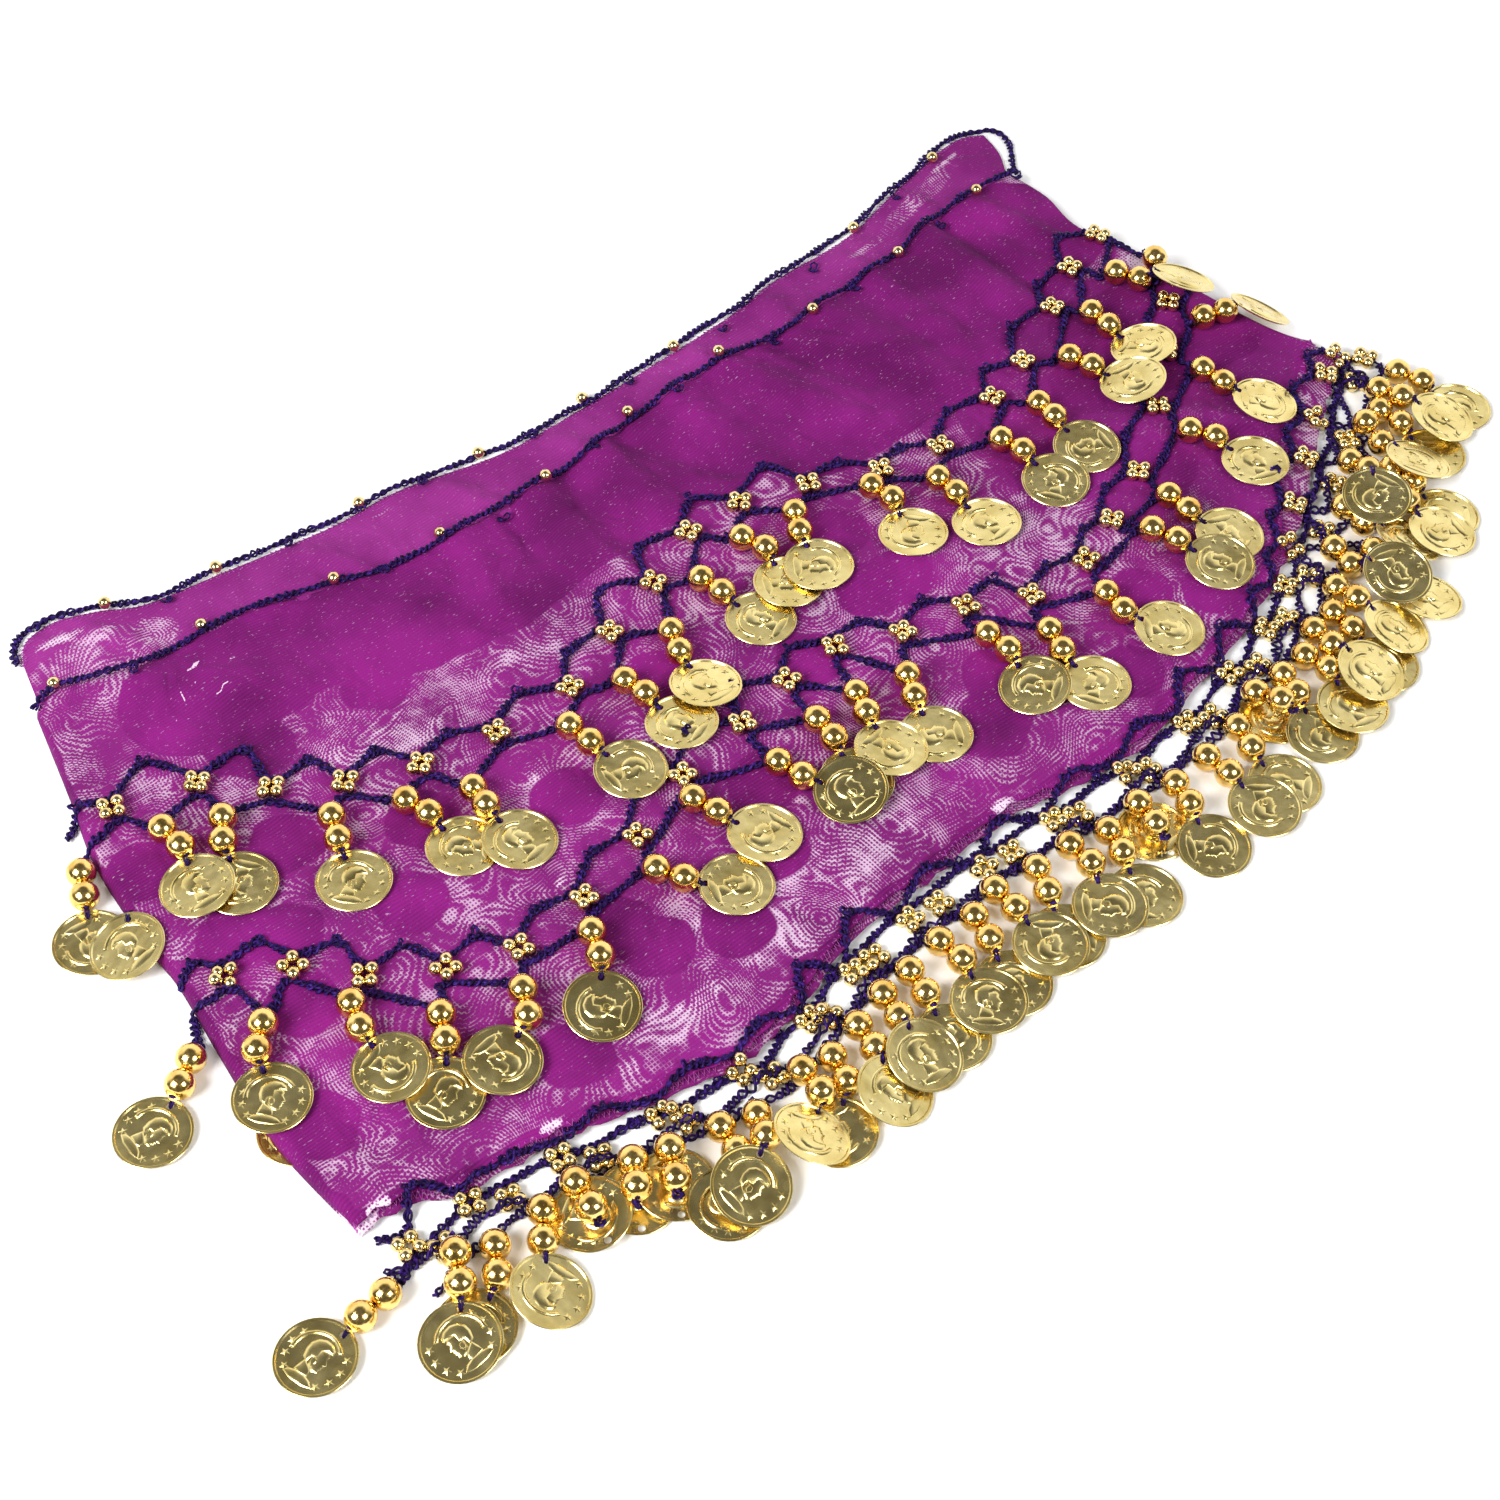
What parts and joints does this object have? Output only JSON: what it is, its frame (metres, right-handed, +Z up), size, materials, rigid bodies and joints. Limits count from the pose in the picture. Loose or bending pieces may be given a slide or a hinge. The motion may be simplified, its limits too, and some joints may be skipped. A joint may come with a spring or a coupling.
{
  "type": "belly dance hip scarf",
  "caption": "Sheer chiffon hip scarf with crochet swags, beads and coin pendants, folded lengthwise and laid flat.",
  "frame": {"origin": "middle of the bounding box at its lowest level, which is the surface the folded scarf lies on", "axes": "+X along the folded scarf's waist edge, +Y across it towards the waist edge, away from the coin hem, +Z up from the surface"},
  "size_m": [0.4606, 0.2812, 0.0141],
  "materials": {
    "chiffon": "sheer",
    "chiffon_under": "sheer",
    "crochet": "matte",
    "gilt": "polished"
  },
  "bodies": {
    "root": {"front_panel": "chiffon", "back_panel": "chiffon", "hidden_layers": "chiffon_under", "waist_edging_back": "crochet", "waist_edging_front": "crochet", "tier_1_band": "gilt", "tier_2_band": "gilt", "hem_band_front": "gilt", "hem_band_back": "gilt"}
  },
  "joints": []
}
